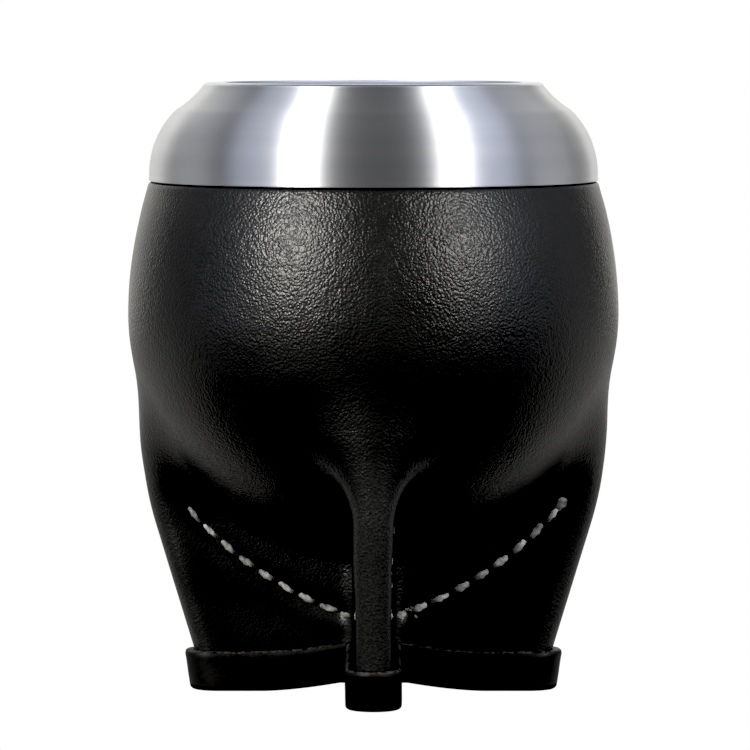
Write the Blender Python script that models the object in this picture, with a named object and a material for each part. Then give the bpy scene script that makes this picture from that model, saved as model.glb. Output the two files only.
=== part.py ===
"""Mate drinking cup: a dried gourd with a spun metal rim, in one moulded leather cover.

The cover is a single sheet.  Under the gourd its spare leather is pinched into four
double-layer legs, sewn shut under the gourd and bound at the ground with leather strips.
The cup stands on the ground plane with its axis on Z and its front leg towards -Y.
All lengths below are in millimetres; MM turns them into metres when a mesh is made.
"""

import math

import bmesh
import bpy
from mathutils import Matrix, Vector

MM = 0.001

# ---- Driving dimensions, in millimetres ----
# The leather-covered body: two half ellipsoids that share one widest ring.
BODY_RADIUS = 47.5
LEG_HEIGHT = 27.5
LOWER_DROP = 46.5
UPPER_RISE = 60.7
LEATHER = 3.0

# The legs: each is the leather sheet folded on itself.
LEG_EDGE_RADIUS = 45.4
LEG_TOP_BELOW = 21.0
LEG_BEND_RADIUS = 72.0
LEG_LEAN = 16.9
LEG_BLEND = 9.0
CROTCH_BLEND = 4.0
FOLD_SPACE = 0.22
FOLD_SWELL = 0.30
HEM_HEIGHT = 1.0

# The leather strip that binds the foot of each leg.
BAND_HEIGHT = 7.8
BAND_THICKNESS = 1.8
BAND_EDGE_ROUND = 0.7
BAND_SKIVE = 1.0
FOOT_LENGTH = 11.0
FOOT_ARCH = 1.6

# The seam that closes each leg under the gourd.
STITCH_PITCH = 4.5
STITCH_COUNT = 8
SEAM_START = 6.6
SEAM_BELOW_BODY = 8.0
SEAM_ABOVE_BAND = 5.3
SEAM_REACH = 35.4
THREAD_WIDTH = 1.3
THREAD_THICKNESS = 0.7

# The gourd and the metal rim on its mouth.
GOURD_WALL = 5.0
RIM_EDGE_ABOVE = 25.0
RIM_STEP = 0.5
RIM_HEIGHT = 19.0
SKIRT_HEIGHT = 13.7
SKIRT_BULGE = 1.6
NECK_HOLLOW = 0.3
MOUTH_RADIUS = 27.2
LIP_WIDTH = 5.8
LIP_ROUND = 0.7
SHEET = 1.0
THROAT_DEPTH = 14.0
TUCK_DEPTH = 5.0
TUCK_SPACE = 0.2
TUCK_START = 2.0
BEDDING = 2.0

# Clearances between neighbours.
GLUE_SPACE = 0.4
FIT_SPACE = 0.3
THREAD_SPACE = 0.25

# How finely the round shapes are divided.
EIGHTH_COLUMNS = 8
TURNS = 40
TURN_WEIGHT = 12.0

# ---- Sizes that follow from them ----
BODY_CENTRE = LEG_HEIGHT + LOWER_DROP
RIM_EDGE_HEIGHT = BODY_CENTRE + RIM_EDGE_ABOVE
RIM_TOP = RIM_EDGE_HEIGHT + RIM_HEIGHT
COVER_TOP = RIM_EDGE_ABOVE - TUCK_START
LIP_RADIUS = MOUTH_RADIUS + LIP_WIDTH
RIM_EDGE_RADIUS = BODY_RADIUS * math.sqrt(1.0 - (COVER_TOP / UPPER_RISE) ** 2) - RIM_STEP
SHOULDER_RADIUS = (LIP_RADIUS + RIM_EDGE_RADIUS) / 2
SHOULDER_HEIGHT = RIM_EDGE_HEIGHT + SKIRT_HEIGHT
TUCK_RADIUS = RIM_EDGE_RADIUS - SHEET - FIT_SPACE
TUCK_TOP = RIM_EDGE_HEIGHT + TUCK_DEPTH
TUCK_SHARE = TUCK_DEPTH / SKIRT_HEIGHT
TUCK_SLOPE = math.hypot(RIM_EDGE_RADIUS - SHOULDER_RADIUS, SKIRT_HEIGHT) / SKIRT_HEIGHT
SKIRT_AT_TUCK = RIM_EDGE_RADIUS - (RIM_EDGE_RADIUS - SHOULDER_RADIUS) * TUCK_SHARE
SKIRT_AT_TUCK += 4 * SKIRT_BULGE * TUCK_SHARE * (1 - TUCK_SHARE)
TUCK_TOP_RADIUS = SKIRT_AT_TUCK - (SHEET + FIT_SPACE + TUCK_SPACE) * TUCK_SLOPE
NECK_RADIUS = TUCK_RADIUS - LEATHER - GLUE_SPACE
NECK_TOP_RADIUS = TUCK_TOP_RADIUS - LEATHER - GLUE_SPACE
GOURD_MOUTH = MOUTH_RADIUS + SHEET + GLUE_SPACE
GOURD_TOP = SHOULDER_HEIGHT - SHEET
LEG_EDGE_TOP = BODY_CENTRE - LEG_TOP_BELOW
LEG_NAMES = {"right": 0, "back": 90, "left": 180, "front": 270}


def clean_scene():
    """Empty the file so that only the cup's own pieces are in it."""
    for item in list(bpy.data.objects):
        bpy.data.objects.remove(item, do_unlink=True)


def make_material(name, colour, roughness, metallic):
    """A Principled material with one colour, roughness and metalness."""
    material = bpy.data.materials.new(name)
    material.use_nodes = True
    shader = material.node_tree.nodes["Principled BSDF"]
    shader.inputs["Base Color"].default_value = (*colour, 1.0)
    shader.inputs["Roughness"].default_value = roughness
    shader.inputs["Metallic"].default_value = metallic
    return material


def make_object(name, points, faces, material, smooth=True):
    """A mesh object from points in millimetres, with its faces turned outwards."""
    mesh = bpy.data.meshes.new(name)
    mesh.from_pydata([Vector(point) * MM for point in points], [], faces)
    shape = bmesh.new()
    shape.from_mesh(mesh)
    bmesh.ops.recalc_face_normals(shape, faces=shape.faces)
    shape.to_mesh(mesh)
    shape.free()
    mesh.polygons.foreach_set("use_smooth", [smooth] * len(mesh.polygons))
    if material:
        mesh.materials.append(material)
    item = bpy.data.objects.new(name, mesh)
    bpy.context.scene.collection.objects.link(item)
    return item


def make_cutter(item):
    """Show an object only as the tool of a Boolean."""
    item.hide_render = True
    item.display_type = "WIRE"


def add_boolean(item, name, operation, tool):
    """Cut or join an object with a tool object."""
    modifier = item.modifiers.new(name, "BOOLEAN")
    modifier.operation = operation
    modifier.solver = "EXACT"
    modifier.object = tool


def arc_points(start, end, bulge, count):
    """Points of a circular arc that stands off its chord by the bulge, to the right of travel."""
    start = Vector(start)
    end = Vector(end)
    chord = end - start
    side = Vector((chord.y, -chord.x)).normalized()
    half = chord.length / 2
    radius = (half * half + bulge * bulge) / (2 * abs(bulge))
    centre = (start + end) / 2 + side * (bulge - math.copysign(radius, bulge))
    first = start - centre
    sweep = first.angle_signed(end - centre)
    points = []
    for step in range(count + 1):
        turn = Matrix.Rotation(-sweep * step / count, 2)
        points.append(tuple(centre + turn @ first))
    return points


def spin_profile(name, profile, material):
    """A ring-shaped piece: a closed outline of radius and height turned about the axis."""
    points = [(radius, 0.0, height) for radius, height in profile]
    mesh = bpy.data.meshes.new(name)
    edges = [(index, index + 1) for index in range(len(points) - 1)]
    if profile[0][0] > 0.0:
        edges.append((len(points) - 1, 0))
    mesh.from_pydata([Vector(point) * MM for point in points], edges, [])
    mesh.materials.append(material)
    item = bpy.data.objects.new(name, mesh)
    bpy.context.scene.collection.objects.link(item)
    screw = item.modifiers.new("Turn", "SCREW")
    screw.axis = "Z"
    screw.steps = TURNS
    screw.render_steps = TURNS
    screw.use_merge_vertices = True
    screw.merge_threshold = 0.00001
    screw.use_smooth_shade = True
    screw.use_normal_flip = True
    return item


def body_outline(height, inset):
    """Radius of the covered body at a height, measured a given distance inside its surface."""
    rise = UPPER_RISE if height > BODY_CENTRE else LOWER_DROP
    level = (height - BODY_CENTRE) / (rise - inset)
    return (BODY_RADIUS - inset) * math.sqrt(max(0.0, 1.0 - level * level))


def body_distance(radius, height):
    """Distance of a point from the covered body, positive outside it."""
    rise = UPPER_RISE if height > BODY_CENTRE else LOWER_DROP
    across = radius / BODY_RADIUS
    along = (height - BODY_CENTRE) / rise
    level = math.hypot(across, along)
    slope = math.hypot(across / BODY_RADIUS, along / rise)
    return level * (level - 1.0) / slope


def leg_edge(height):
    """Radius of a leg's outer edge: upright at the top, a wide bend, then straight to the ground."""
    below = max(0.0, LEG_EDGE_TOP - height)
    lean = math.radians(LEG_LEAN)
    bend = LEG_BEND_RADIUS * math.sin(lean)
    if below <= bend:
        inward = LEG_BEND_RADIUS - math.sqrt(LEG_BEND_RADIUS**2 - below**2)
    else:
        inward = LEG_BEND_RADIUS * (1.0 - math.cos(lean)) + (below - bend) * math.tan(lean)
    edge = LEG_EDGE_RADIUS - inward
    body = body_outline(height, 0.0)
    softness = min(1.0, max(0.0, (BODY_CENTRE - 3.0 - height) / 12.0))
    return (body + edge + math.sqrt((body - edge) ** 2 + softness**2)) / 2


def leg_tip(height):
    """Radius of the fold's own tip, so that tip and body blend out to the leg's edge."""
    edge = leg_edge(height)
    away = min(LEG_BLEND, max(0.0, body_distance(edge, height)))
    return edge - (math.sqrt(LEG_BLEND) - math.sqrt(away)) ** 2


def fold_half(height):
    """Half the thickness of a leg: one layer of leather and half of the space in the fold."""
    swell = FOLD_SWELL * min(1.0, max(0.0, height / LEG_HEIGHT))
    return LEATHER + FOLD_SPACE + swell


def blend(first, second, reach):
    """The smaller of two distances, rounded off where they are close to each other."""
    share = max(0.0, reach - abs(first - second)) / reach
    return min(first, second) - share * share * reach / 4


def leg_distance(along, across, height):
    """Distance of a point from one straight leg."""
    half = fold_half(height)
    past_tip = max(0.0, along - (leg_tip(height) - half))
    return math.hypot(past_tip, across) - half


def cover_distance(along, across, height):
    """Distance of a point from the outside of the leather cover, between two legs."""
    first = leg_distance(along, across, height)
    second = leg_distance(across, along, height)
    legs = blend(first, second, CROTCH_BLEND)
    return blend(body_distance(math.hypot(along, across), height), legs, LEG_BLEND)


def solve(distance, inside, outside):
    """The place between two bounds where a distance is zero."""
    for _ in range(26):
        middle = (inside + outside) / 2
        if distance(middle) > 0:
            outside = middle
        else:
            inside = middle
    return (inside + outside) / 2


def eighth_ring(height):
    """One eighth of the cover's outline at a height, from the middle of a leg to the diagonal."""
    samples = 300
    outline = []
    for step in range(samples + 1):
        angle = math.radians(45.0) * (step / samples) ** 1.4
        east = math.cos(angle)
        north = math.sin(angle)
        reach = solve(lambda r: cover_distance(r * east, r * north, height), 0.5, BODY_RADIUS * 1.2)
        outline.append(Vector((reach * east, reach * north)))
    measure = [0.0]
    for index in range(1, samples + 1):
        step_along = outline[index] - outline[index - 1]
        turn = 0.0
        if index > 1:
            turn = abs((outline[index - 1] - outline[index - 2]).angle_signed(step_along))
        measure.append(measure[-1] + step_along.length + TURN_WEIGHT * turn)
    ring = []
    index = 0
    for column in range(EIGHTH_COLUMNS + 1):
        wanted = measure[-1] * column / EIGHTH_COLUMNS
        while index < samples - 1 and measure[index + 1] < wanted:
            index += 1
        share = (wanted - measure[index]) / (measure[index + 1] - measure[index])
        ring.append(outline[index].lerp(outline[index + 1], min(1.0, max(0.0, share))))
    return ring


def full_ring(eighth):
    """Mirror and turn one eighth of an outline into the whole outline."""
    quarter = list(eighth)
    for point in reversed(eighth[:-1]):
        quarter.append(Vector((point.y, point.x)))
    ring = []
    for turn in range(4):
        rotation = Matrix.Rotation(math.radians(90 * turn), 2)
        ring.extend(rotation @ point for point in quarter[:-1])
    return ring


def circle_ring(radius):
    """A round outline with the same number of points as the others."""
    eighth = []
    for column in range(EIGHTH_COLUMNS + 1):
        angle = math.radians(45.0) * column / EIGHTH_COLUMNS
        eighth.append(Vector((radius * math.cos(angle), radius * math.sin(angle))))
    return full_ring(eighth)


def foot_arch(along):
    """How far the hem has risen off the ground this far out along a leg."""
    start = leg_edge(0.0) - FOOT_LENGTH
    share = min(1.0, max(0.0, (start - along) / (start - SEAM_START)))
    return FOOT_ARCH * share**1.6


def make_cover(material):
    """The cover: rings from the hem up to the edge under the rim, thickened inwards."""
    levels = [HEM_HEIGHT, BAND_HEIGHT + 0.8]
    gap = LEG_HEIGHT - levels[-1]
    levels += [levels[-1] + gap * share for share in (0.27, 0.53, 0.77, 0.93)]
    for latitude in (78, 70, 62, 54, 46, 38, 30, 22, 14):
        levels.append(BODY_CENTRE - LOWER_DROP * math.sin(math.radians(latitude)))
    rings = [(height, full_ring(eighth_ring(height))) for height in levels]
    for share in (-0.16, 0.28, 0.56, 0.82, 1.0):
        height = BODY_CENTRE + COVER_TOP * share
        rings.append((height, circle_ring(body_outline(height, 0.0))))
    rings.append((RIM_EDGE_HEIGHT - 0.2, circle_ring(TUCK_RADIUS)))
    rings.append((TUCK_TOP, circle_ring(TUCK_TOP_RADIUS)))
    points = []
    for row, (height, ring) in enumerate(rings):
        for point in ring:
            rise = foot_arch(max(abs(point.x), abs(point.y))) if row < 2 else 0.0
            points.append((point.x, point.y, height + rise))
    width = 8 * EIGHTH_COLUMNS
    faces = []
    for row in range(len(rings) - 1):
        for column in range(width):
            after = (column + 1) % width
            low = row * width
            high = low + width
            faces.append((low + column, low + after, high + after, high + column))
    cover = make_object("leather_cover", points, faces, material)
    sheet = cover.modifiers.new("Leather thickness", "SOLIDIFY")
    sheet.thickness = LEATHER * MM
    sheet.offset = -1.0
    sheet.use_even_offset = True
    sheet.use_quality_normals = True
    return cover


def seam_height(along):
    """Height of the seam under the gourd at a distance along a leg."""
    inner = LEG_HEIGHT - BAND_HEIGHT - SEAM_ABOVE_BAND
    share = max(0.0, 1.0 - along / SEAM_REACH) ** 1.4
    drop = SEAM_BELOW_BODY + (inner - SEAM_BELOW_BODY) * share
    level = min(0.999, along / BODY_RADIUS)
    return BODY_CENTRE - LOWER_DROP * math.sqrt(1.0 - level * level) - drop


def seam_holes():
    """Places of the stitch holes along a leg, one stitch apart, with the seam's direction there."""
    holes = []
    along = SEAM_START
    for _ in range(STITCH_COUNT + 1):
        slope = seam_height(along + 0.1) - seam_height(along - 0.1)
        direction = Vector((0.2, slope)).normalized()
        holes.append((Vector((along, seam_height(along))), direction))
        along += STITCH_PITCH * direction.x
    return holes


def face_offset(along, height):
    """Half the thickness of a leg, with its blend into the body, at a place on its face."""
    return solve(lambda across: cover_distance(along, across, height), 1.0, BODY_RADIUS * 0.5)


def ring_prism(centre, axis_one, axis_two, half_one, half_two, sides):
    """Corners of a flat many-sided outline about a centre."""
    corners = []
    for side in range(sides):
        angle = 2 * math.pi * side / sides
        corners.append(
            centre + axis_one * (half_one * math.cos(angle)) + axis_two * (half_two * math.sin(angle))
        )
    return corners


def tube_mesh(sections, points, faces):
    """Add a closed tube through equal many-sided sections to a list of points and faces."""
    start = len(points)
    sides = len(sections[0])
    for section in sections:
        points.extend(section)
    for index in range(len(sections) - 1):
        for side in range(sides):
            after = (side + 1) % sides
            low = start + index * sides
            high = low + sides
            faces.append((low + side, low + after, high + after, high + side))
    faces.append(tuple(start + side for side in reversed(range(sides))))
    last = start + (len(sections) - 1) * sides
    faces.append(tuple(last + side for side in range(sides)))


def hole_tool(name, turn):
    """Prisms that punch one leg's stitch holes through both layers."""
    points = []
    faces = []
    half_one = THREAD_WIDTH / 2 + THREAD_SPACE
    for place, direction in seam_holes():
        along = Vector((direction.x, 0.0, direction.y))
        across = Vector((-direction.y, 0.0, direction.x))
        reach = face_offset(place.x, place.y) + 3.0
        sections = []
        for side in (1, -1):
            centre = Vector((place.x, side * reach, place.y))
            sections.append(ring_prism(centre, across, along, half_one, half_one, 6))
        tube_mesh(sections, points, faces)
    rotation = Matrix.Rotation(math.radians(turn), 3, "Z")
    tool = make_object(name, [rotation @ point for point in points], faces, None)
    make_cutter(tool)
    return tool


def thread_rail(side):
    """The stitches on one face of a leg, as one flat tube that dips into each hole."""
    holes = seam_holes()
    stations = []
    for index, (place, direction) in enumerate(holes):
        stations.append((place, direction, 0.0))
        if index + 1 < len(holes):
            after = holes[index + 1][0]
            for share in (0.27, 0.73):
                stations.append((place.lerp(after, share), (after - place).normalized(), 1.0))
    height = THREAD_SPACE + THREAD_THICKNESS / 2
    sections = []
    for place, direction, lift in stations:
        across = Vector((-direction.y, 0.0, direction.x))
        out = face_offset(place.x, place.y) + height + 0.12 * lift
        centre = Vector((place.x, side * out, place.y))
        outward = Vector((0.0, side, 0.0))
        half = THREAD_WIDTH / 2 * (0.92 + 0.08 * lift)
        section = ring_prism(centre, across, outward, half, THREAD_THICKNESS / 2, 6)
        sections.append(section if side > 0 else section[::-1])
    return sections


def make_thread(name, turn, material):
    """One seam: stitches on both faces, tied through every hole."""
    rotation = Matrix.Rotation(math.radians(turn), 3, "Z")
    points = []
    faces = []
    for side in (1, -1):
        tube_mesh(thread_rail(side), points, faces)
    thread = make_object(name, [rotation @ point for point in points], faces, material)
    points = []
    faces = []
    half_one = THREAD_WIDTH / 2 * 0.85
    half_two = THREAD_THICKNESS / 2 * 1.3
    for place, direction in seam_holes():
        along = Vector((direction.x, 0.0, direction.y))
        across = Vector((-direction.y, 0.0, direction.x))
        reach = face_offset(place.x, place.y) + THREAD_SPACE + THREAD_THICKNESS * 0.68
        sections = []
        for side in (1, -1):
            centre = Vector((place.x, side * reach, place.y))
            sections.append(ring_prism(centre, across, along, half_one, half_two, 6))
        tube_mesh(sections, points, faces)
    plugs = make_object(name + "_passes", [rotation @ point for point in points], faces, None)
    make_cutter(plugs)
    add_boolean(thread, "Tie through the holes", "UNION", plugs)
    return thread


def leg_outline(height, start):
    """Points and outward directions round one leg, from one inner end to the other."""
    half = fold_half(height)
    centre = leg_edge(height) - half
    places = []
    for share in (0.0, 0.35, 0.7, 1.0):
        along = start + (centre - start) * share
        places.append((Vector((along, half)), Vector((0.0, 1.0))))
    for degrees in (67.5, 45, 22.5, 0, -22.5, -45, -67.5):
        outward = Vector((math.cos(math.radians(degrees)), math.sin(math.radians(degrees))))
        places.append((Vector((centre, 0.0)) + outward * half, outward))
    for share in (1.0, 0.7, 0.35, 0.0):
        along = start + (centre - start) * share
        places.append((Vector((along, -half)), Vector((0.0, -1.0))))
    return places


def make_band(name, turn, material):
    """A strip bound round the foot of one leg, with a rounded foot edge and a skived top edge."""
    inner = FIT_SPACE
    outer = FIT_SPACE + BAND_THICKNESS
    section = [(inner, 0.0), (outer - BAND_EDGE_ROUND, 0.0)]
    section.append((outer - BAND_EDGE_ROUND * 0.3, BAND_EDGE_ROUND * 0.3))
    section.append((outer, BAND_EDGE_ROUND))
    section.append((outer, BAND_HEIGHT - BAND_SKIVE))
    section.append((outer - BAND_THICKNESS * 0.55, BAND_HEIGHT))
    section.append((inner, BAND_HEIGHT))
    rotation = Matrix.Rotation(math.radians(turn), 3, "Z")
    start = fold_half(0.0) + FIT_SPACE + BAND_THICKNESS + FIT_SPACE
    columns = []
    count = len(leg_outline(0.0, start))
    for column in range(count):
        corners = []
        for offset, height in section:
            place, outward = leg_outline(height, start)[column]
            flat = place + outward * offset
            corners.append(Vector((flat.x, flat.y, height + foot_arch(flat.x))))
        columns.append([rotation @ corner for corner in corners])
    points = []
    faces = []
    tube_mesh(columns, points, faces)
    return make_object(name, points, faces, material, smooth=False)


def gourd_profile():
    """Closed outline of the gourd: outside from the bottom to the mouth, then back inside."""
    skin = LEATHER + GLUE_SPACE
    outside = [(0.0, BODY_CENTRE - LOWER_DROP + skin)]
    for latitude in (78, 66, 54, 42, 30, 18, 6):
        height = BODY_CENTRE - (LOWER_DROP - skin) * math.sin(math.radians(latitude))
        outside.append((body_outline(height, skin), height))
    for share in (0.25, 0.55, 0.8):
        height = BODY_CENTRE + COVER_TOP * share
        outside.append((body_outline(height, skin), height))
    outside.append((NECK_RADIUS + 0.2, RIM_EDGE_HEIGHT - 3.2))
    outside.append((NECK_RADIUS - 0.4, RIM_EDGE_HEIGHT))
    outside.append((NECK_TOP_RADIUS - 0.1, TUCK_TOP))
    rim_inner = SHOULDER_RADIUS - SHEET - GLUE_SPACE - BEDDING
    outside.append((rim_inner, GOURD_TOP - 1.0))
    inside = [(rim_inner - 1.0, GOURD_TOP), (GOURD_MOUTH + 0.6, GOURD_TOP), (GOURD_MOUTH, GOURD_TOP - 0.8)]
    inside.append((GOURD_MOUTH, RIM_TOP - THROAT_DEPTH - 1.0))
    wall = skin + GOURD_WALL
    inside.append((body_outline(RIM_EDGE_HEIGHT - 5.0, wall) - 1.0, RIM_EDGE_HEIGHT - 5.0))
    for share in (0.5, 0.15):
        height = BODY_CENTRE + COVER_TOP * share
        inside.append((body_outline(height, wall), height))
    for latitude in (6, 22, 38, 54, 70):
        height = BODY_CENTRE - (LOWER_DROP - wall) * math.sin(math.radians(latitude))
        inside.append((body_outline(height, wall), height))
    inside.append((0.0, BODY_CENTRE - LOWER_DROP + wall))
    return outside + inside


def rim_outer():
    """Outside line of the rim: near-upright skirt, round shoulder, hollow neck and rounded lip."""
    edge = (RIM_EDGE_RADIUS, RIM_EDGE_HEIGHT)
    shoulder = (SHOULDER_RADIUS, SHOULDER_HEIGHT)
    lip_side = (LIP_RADIUS, RIM_TOP - LIP_ROUND)
    lip_top = (LIP_RADIUS - LIP_ROUND * 1.5, RIM_TOP)
    skirt = arc_points(edge, shoulder, SKIRT_BULGE, 5)
    neck = arc_points(shoulder, lip_side, -NECK_HOLLOW, 3)
    lip = arc_points(lip_side, lip_top, LIP_ROUND * 0.3, 2)
    return skirt + neck[1:] + lip[1:]


def rim_profile():
    """Closed outline of the rim sheet: over the lip, down the throat and back underneath."""
    outside = rim_outer()
    throat = [(MOUTH_RADIUS + 0.9, RIM_TOP), (MOUTH_RADIUS + 0.2, RIM_TOP - 0.3)]
    throat.append((MOUTH_RADIUS, RIM_TOP - 1.0))
    throat.append((MOUTH_RADIUS, RIM_TOP - THROAT_DEPTH))
    under = [(MOUTH_RADIUS + SHEET, RIM_TOP - THROAT_DEPTH), (MOUTH_RADIUS + SHEET, RIM_TOP - SHEET - 0.3)]
    for index in range(len(outside) - 2, 0, -1):
        before = Vector(outside[index - 1])
        after = Vector(outside[index + 1])
        along = (after - before).normalized()
        inward = Vector((-along.y, along.x))
        place = Vector(outside[index]) + inward * SHEET
        under.append((place.x, min(place.y, RIM_TOP - SHEET)))
    under.append((RIM_EDGE_RADIUS - SHEET, RIM_EDGE_HEIGHT))
    return outside + throat + under


def bedding_profile():
    """Closed outline of the resin ring between the gourd's neck and the rim's shoulder."""
    low = TUCK_TOP + FIT_SPACE
    high = GOURD_TOP - 1.0
    outer_low = TUCK_TOP_RADIUS
    outer_high = SHOULDER_RADIUS - SHEET + 0.6
    inner_low = NECK_TOP_RADIUS - 0.1 + GLUE_SPACE
    inner_high = SHOULDER_RADIUS - SHEET - BEDDING
    return [(outer_low, low), (outer_high, high), (inner_high, high), (inner_low, low)]


clean_scene()

gourd = make_material("dried_gourd", (0.33, 0.19, 0.08), 0.7, 0.0)
leather = make_material("black_pebbled_leather", (0.012, 0.012, 0.013), 0.5, 0.0)
strap = make_material("black_strap_leather", (0.014, 0.013, 0.013), 0.6, 0.0)
metal = make_material("spun_aluminium", (0.72, 0.73, 0.75), 0.22, 1.0)
resin = make_material("bedding_resin", (0.10, 0.07, 0.05), 0.5, 0.0)
waxed = make_material("waxed_thread", (0.42, 0.42, 0.43), 0.6, 0.0)

spin_profile("gourd_shell", gourd_profile(), gourd)
spin_profile("rim_bedding", bedding_profile(), resin)
spin_profile("metal_rim", rim_profile(), metal)

cover = make_cover(leather)
for name, turn in LEG_NAMES.items():
    tool = hole_tool("stitch_holes_" + name, turn)
    add_boolean(cover, "Stitch holes " + name, "DIFFERENCE", tool)
    make_thread("seam_thread_" + name, turn, waxed)
    make_band("foot_band_" + name, turn, strap)
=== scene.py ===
"""A mate drinking cup: a dried gourd in one moulded leather cover, with a spun metal rim."""

import math
import random

import bmesh
import bpy
import numpy as np
from mathutils import Matrix, Vector, noise


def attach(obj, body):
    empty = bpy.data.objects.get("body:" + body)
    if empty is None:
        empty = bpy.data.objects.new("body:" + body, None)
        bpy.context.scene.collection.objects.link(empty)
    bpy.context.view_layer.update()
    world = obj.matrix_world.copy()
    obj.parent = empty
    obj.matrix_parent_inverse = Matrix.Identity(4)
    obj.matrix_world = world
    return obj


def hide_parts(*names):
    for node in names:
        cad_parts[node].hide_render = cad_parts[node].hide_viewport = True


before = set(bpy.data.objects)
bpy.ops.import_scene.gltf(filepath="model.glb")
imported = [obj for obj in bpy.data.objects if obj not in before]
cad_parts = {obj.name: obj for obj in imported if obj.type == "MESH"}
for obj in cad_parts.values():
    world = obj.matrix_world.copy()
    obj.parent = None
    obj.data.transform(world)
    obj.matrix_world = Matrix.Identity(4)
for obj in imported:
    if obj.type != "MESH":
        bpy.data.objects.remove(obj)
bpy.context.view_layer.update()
MM = 0.001


# The gourd. A ripe calabash is cut open at its neck, scraped clean and dried, which leaves
# a woody brown shell about 5 mm thick. Leather hides its outside, so it shows in the mouth.

GOURD_RADIUS = 44.1 * MM
GOURD_WALL = 5.0 * MM
GOURD_WIDEST = 74.0 * MM
GOURD_BELOW = 43.1 * MM
GOURD_ABOVE = 57.3 * MM
NECK_BASE = 93.0 * MM
GOURD_NECK = ((40.6, 95.0), (38.8, 96.4), (38.0, 99.0), (37.7, 104.0), (35.9, 107.8), (34.4, 111.2))


def add_piece(name):
    """Name the primitive that was just added, and open it for editing with nothing selected."""
    piece = bpy.context.active_object
    piece.name = name
    piece.data.name = name
    bpy.ops.object.mode_set(mode="EDIT")
    bpy.ops.mesh.select_mode(type="VERT")
    bpy.ops.mesh.select_all(action="DESELECT")
    return piece


def pick_points(piece, wanted):
    """Select the points whose place passes a test, and nothing else."""
    bpy.ops.mesh.select_mode(type="VERT")
    bpy.ops.mesh.select_all(action="DESELECT")
    shape = bmesh.from_edit_mesh(piece.data)
    for point in shape.verts:
        point.select = wanted(piece.matrix_world @ point.co)
    shape.select_flush(True)
    bmesh.update_edit_mesh(piece.data)


def finish_piece(piece, *modifiers):
    """Leave edit mode, add and apply the modifiers, and put the piece's place in its mesh."""
    bpy.ops.object.mode_set(mode="OBJECT")
    for kind, settings in modifiers:
        modifier = piece.modifiers.new(kind.title(), kind)
        for setting, value in settings.items():
            setattr(modifier, setting, value)
        bpy.ops.object.modifier_apply(modifier=modifier.name)
    bpy.ops.object.transform_apply(location=True, rotation=True, scale=True)
    bpy.ops.object.shade_smooth_by_angle(angle=math.radians(40))
    bpy.ops.object.select_all(action="DESELECT")


def draw_ring_up(radius, height, to_radius, to_height):
    """Extrude the selected ring of points to a new radius and height."""
    bpy.ops.mesh.extrude_region_move(TRANSFORM_OT_translate={"value": (0, 0, to_height - height)})
    share = to_radius / radius
    bpy.ops.transform.resize(value=(share, share, 1), center_override=(0, 0, to_height))


bpy.ops.object.select_all(action="DESELECT")
bpy.ops.mesh.primitive_uv_sphere_add(
    segments=128, ring_count=64, radius=GOURD_RADIUS, location=(0, 0, GOURD_WIDEST)
)
gourd = add_piece("gourd")
pick_points(gourd, lambda place: place.z < GOURD_WIDEST - 0.01 * MM)
bpy.ops.transform.resize(
    value=(1, 1, GOURD_BELOW / GOURD_RADIUS), center_override=(0, 0, GOURD_WIDEST)
)
pick_points(gourd, lambda place: place.z > GOURD_WIDEST + 0.01 * MM)
bpy.ops.transform.resize(
    value=(1, 1, GOURD_ABOVE / GOURD_RADIUS), center_override=(0, 0, GOURD_WIDEST)
)
bpy.ops.mesh.select_all(action="SELECT")
bpy.ops.mesh.bisect(plane_co=(0, 0, NECK_BASE), plane_no=(0, 0, 1), clear_outer=True)
pick_points(gourd, lambda place: abs(place.z - NECK_BASE) < 0.001 * MM)
ring_radius = GOURD_RADIUS * math.sqrt(1 - ((NECK_BASE - GOURD_WIDEST) / GOURD_ABOVE) ** 2)
ring_height = NECK_BASE
for radius, height in GOURD_NECK:
    draw_ring_up(ring_radius, ring_height, radius * MM, height * MM)
    ring_radius = radius * MM
    ring_height = height * MM
finish_piece(
    gourd,
    ("SOLIDIFY", {"thickness": GOURD_WALL, "offset": -1, "use_even_offset": True}),
    (
        "BEVEL",
        {
            "width": 0.7 * MM,
            "segments": 3,
            "limit_method": "ANGLE",
            "angle_limit": math.radians(50),
        },
    ),
)


def linear(hex_colour):
    """A linear colour from an sRGB hex value."""
    channels = [int(hex_colour[start : start + 2], 16) / 255 for start in (1, 3, 5)]
    turned = [c / 12.92 if c <= 0.04045 else ((c + 0.055) / 1.055) ** 2.4 for c in channels]
    return (*turned, 1.0)


def add_node(material, kind, settings=None, links=None):
    """Add a node: settings are its properties, its input values, or its colour stops."""
    tree = material.node_tree
    node = tree.nodes.new("ShaderNode" + kind)
    for key, value in (settings or {}).items():
        if key == "stops":
            for number, (position, hex_colour) in enumerate(value):
                if number == len(node.color_ramp.elements):
                    node.color_ramp.elements.new(position)
                node.color_ramp.elements[number].position = position
                node.color_ramp.elements[number].color = linear(hex_colour)
        elif isinstance(key, str) and hasattr(node, key):
            setattr(node, key, value)
        else:
            node.inputs[key].default_value = value
    for key, source in (links or {}).items():
        tree.links.new(source, node.inputs[key])
    return node


def new_material(name, settings):
    """A material that is one Principled shader with these settings."""
    material = bpy.data.materials.new(name)
    material.use_nodes = True
    shader = material.node_tree.nodes["Principled BSDF"]
    for key, value in settings.items():
        shader.inputs[key].default_value = value
    return material, shader


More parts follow.
